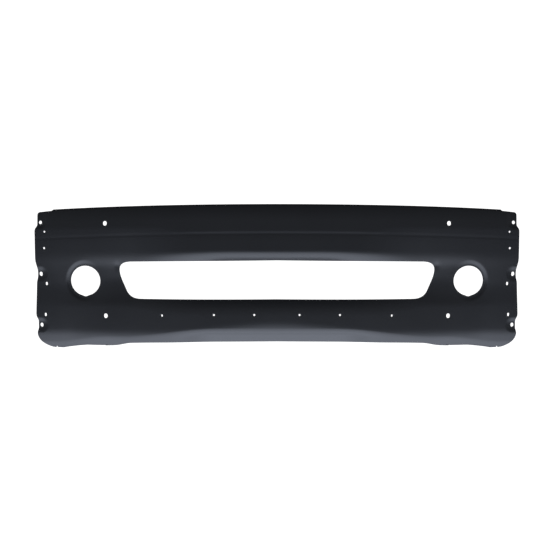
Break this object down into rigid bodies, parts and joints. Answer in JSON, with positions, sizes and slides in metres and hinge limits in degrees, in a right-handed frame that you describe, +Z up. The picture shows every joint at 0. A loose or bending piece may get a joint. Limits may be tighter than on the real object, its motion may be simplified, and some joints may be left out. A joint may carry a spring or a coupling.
{
  "type": "truck front bumper centre section",
  "caption": "Pressed steel centre section of a heavy truck's front bumper, with a wide air opening, two round lamp holes, joggled end tabs, rear brackets, stiffener, weld nuts and weld washers.",
  "frame": {"origin": "midway between the rear faces of the two chassis plates, at mid height of the plates", "axes": "+X across the truck, to the right for someone facing the bumper; +Y rearwards into the truck; +Z up"},
  "size_m": [1.84, 0.2351, 0.5362],
  "materials": {
    "black_e_coat": "satin"
  },
  "bodies": {
    "root": {"face_panel": "black_e_coat", "upper_stiffener": "black_e_coat", "mount_bracket_left": "black_e_coat", "mount_bracket_right": "black_e_coat", "chassis_plate_left": "black_e_coat", "chassis_plate_right": "black_e_coat", "skirt_nut_left_inner": "black_e_coat", "skirt_nut_left_middle": "black_e_coat", "skirt_nut_left_outer": "black_e_coat", "skirt_nut_right_inner": "black_e_coat", "skirt_nut_right_middle": "black_e_coat", "skirt_nut_right_outer": "black_e_coat", "tab_washer_left_top": "black_e_coat", "tab_washer_left_middle": "black_e_coat", "tab_washer_left_bottom": "black_e_coat", "tab_washer_right_top": "black_e_coat", "tab_washer_right_middle": "black_e_coat", "tab_washer_right_bottom": "black_e_coat", "cap_washer_left": "black_e_coat", "cap_washer_right": "black_e_coat"}
  },
  "joints": []
}
